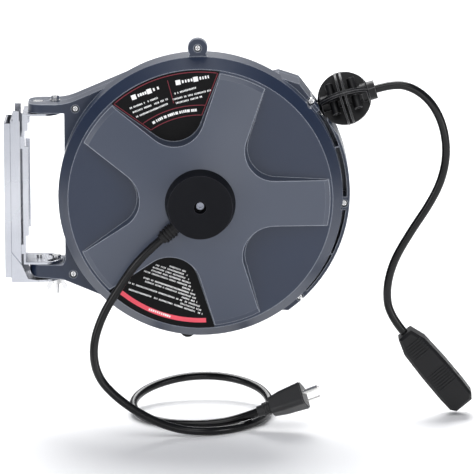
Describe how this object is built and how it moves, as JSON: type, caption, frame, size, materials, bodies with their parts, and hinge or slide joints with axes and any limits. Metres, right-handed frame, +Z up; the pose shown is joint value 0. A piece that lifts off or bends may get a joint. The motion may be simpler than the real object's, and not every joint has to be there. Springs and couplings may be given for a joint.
{
  "type": "retractable extension cord reel",
  "caption": "Wall-bracket cord reel with a round swivelling case, sprung drum, ball cord stop, multi-outlet end and a plug on its feed lead.",
  "frame": {"origin": "centre of the wall plate's four screw holes, on the plate's back face", "axes": "+X away from the wall towards the cord outlet, +Y towards the back of the casing, +Z up"},
  "size_m": [0.5226, 0.1832, 0.4396],
  "materials": {
    "blue_shell": "fine-grained dark blue-grey",
    "black_plastic": "satin black",
    "rubber_black": "soft black",
    "cord_black": "satin black PVC jacket",
    "label_black": "printed film",
    "zinc_steel": "zinc plated",
    "chrome_blade": "nickel plated",
    "brass": "turned brass",
    "spring_steel": "blued spring strip",
    "carbon": "carbon brush",
    "nylon": "natural nylon",
    "bronze": "sintered bronze"
  },
  "bodies": {
    "bracket": {"wall_plate": "zinc_steel", "bracket_carrier": "zinc_steel", "carrier_bolts": "zinc_steel", "swivel_yoke": "zinc_steel", "support_bracket": "zinc_steel", "support_bolts": "zinc_steel", "pivot_bolt_upper": "zinc_steel", "pivot_bolt_lower": "zinc_steel"},
    "casing": {"front_case": "blue_shell", "rear_case": "blue_shell", "case_screws": "zinc_steel", "bottom_bumper": "rubber_black", "hub_cap": "black_plastic", "hub_screw": "zinc_steel", "hub_strain_relief": "rubber_black", "upper_label": "label_black", "lower_label": "label_black", "axle": "zinc_steel", "brush_holder": "black_plastic", "brushes": "carbon", "pawl_pin": "zinc_steel", "pawl_spring": "spring_steel", "lock_bolt_upper": "zinc_steel", "lock_stud": "zinc_steel", "outlet_frame": "black_plastic", "lead_in_cord": "cord_black", "stop_ball_upper": "rubber_black", "stop_ball_lower": "rubber_black", "stop_ball_screws": "zinc_steel", "outlet_cord": "cord_black", "socket_body": "rubber_black", "mains_lead": "cord_black", "plug_relief": "rubber_black", "plug_body": "rubber_black", "plug_blades": "chrome_blade"},
    "drum": {"drum_core": "zinc_steel", "drum_front_flange": "zinc_steel", "drum_rear_flange": "zinc_steel", "front_bush": "bronze", "rear_bush": "bronze", "spring_case": "spring_steel", "spring_cover": "spring_steel", "power_spring": "spring_steel", "slip_ring_carrier": "black_plastic", "slip_rings": "brass", "ratchet_ring": "zinc_steel", "wound_cord": "cord_black"},
    "pawl": {"pawl": "zinc_steel"},
    "wing_nut": {"wing_nut": "zinc_steel"},
    "roller_above": {"roller_above": "nylon"},
    "roller_below": {"roller_below": "nylon"},
    "roller_front": {"roller_front": "nylon"},
    "roller_rear": {"roller_rear": "nylon"}
  },
  "joints": [
    {"name": "case_swivel", "type": "hinge", "parent": "bracket", "child": "casing", "pos_m": [0.037, 0, 0.011], "axis": [0, 0, 1], "range_deg": [-45, 45]},
    {"name": "drum_spin", "type": "hinge", "parent": "casing", "child": "drum", "pos_m": [0.218, 0, 0.011], "axis": [0, -1, 0], "continuous": true},
    {"name": "pawl_pivot", "type": "hinge", "parent": "casing", "child": "pawl", "pos_m": [0.218, 0.048, -0.067], "axis": [0, -1, 0], "range_deg": [-12, 0], "stiffness_Nm_per_rad": 0.02, "springref_deg": 2.86},
    {"name": "wing_nut_turn", "type": "hinge", "parent": "casing", "child": "wing_nut", "pos_m": [0.0563, 0, -0.097], "axis": [0, 0, 1], "continuous": true},
    {"name": "roller_above_spin", "type": "hinge", "parent": "casing", "child": "roller_above", "pos_m": [0.3226, 0, 0.10461], "axis": [0, -1, 0], "continuous": true},
    {"name": "roller_below_spin", "type": "hinge", "parent": "casing", "child": "roller_below", "pos_m": [0.32847, 0, 0.08539], "axis": [0, -1, 0], "continuous": true},
    {"name": "roller_front_spin", "type": "hinge", "parent": "casing", "child": "roller_front", "pos_m": [0.31406, -0.01005, 0.09149], "axis": [0.2924, 0, -0.9563], "continuous": true},
    {"name": "roller_rear_spin", "type": "hinge", "parent": "casing", "child": "roller_rear", "pos_m": [0.31406, 0.01005, 0.09149], "axis": [0.2924, 0, -0.9563], "continuous": true}
  ]
}
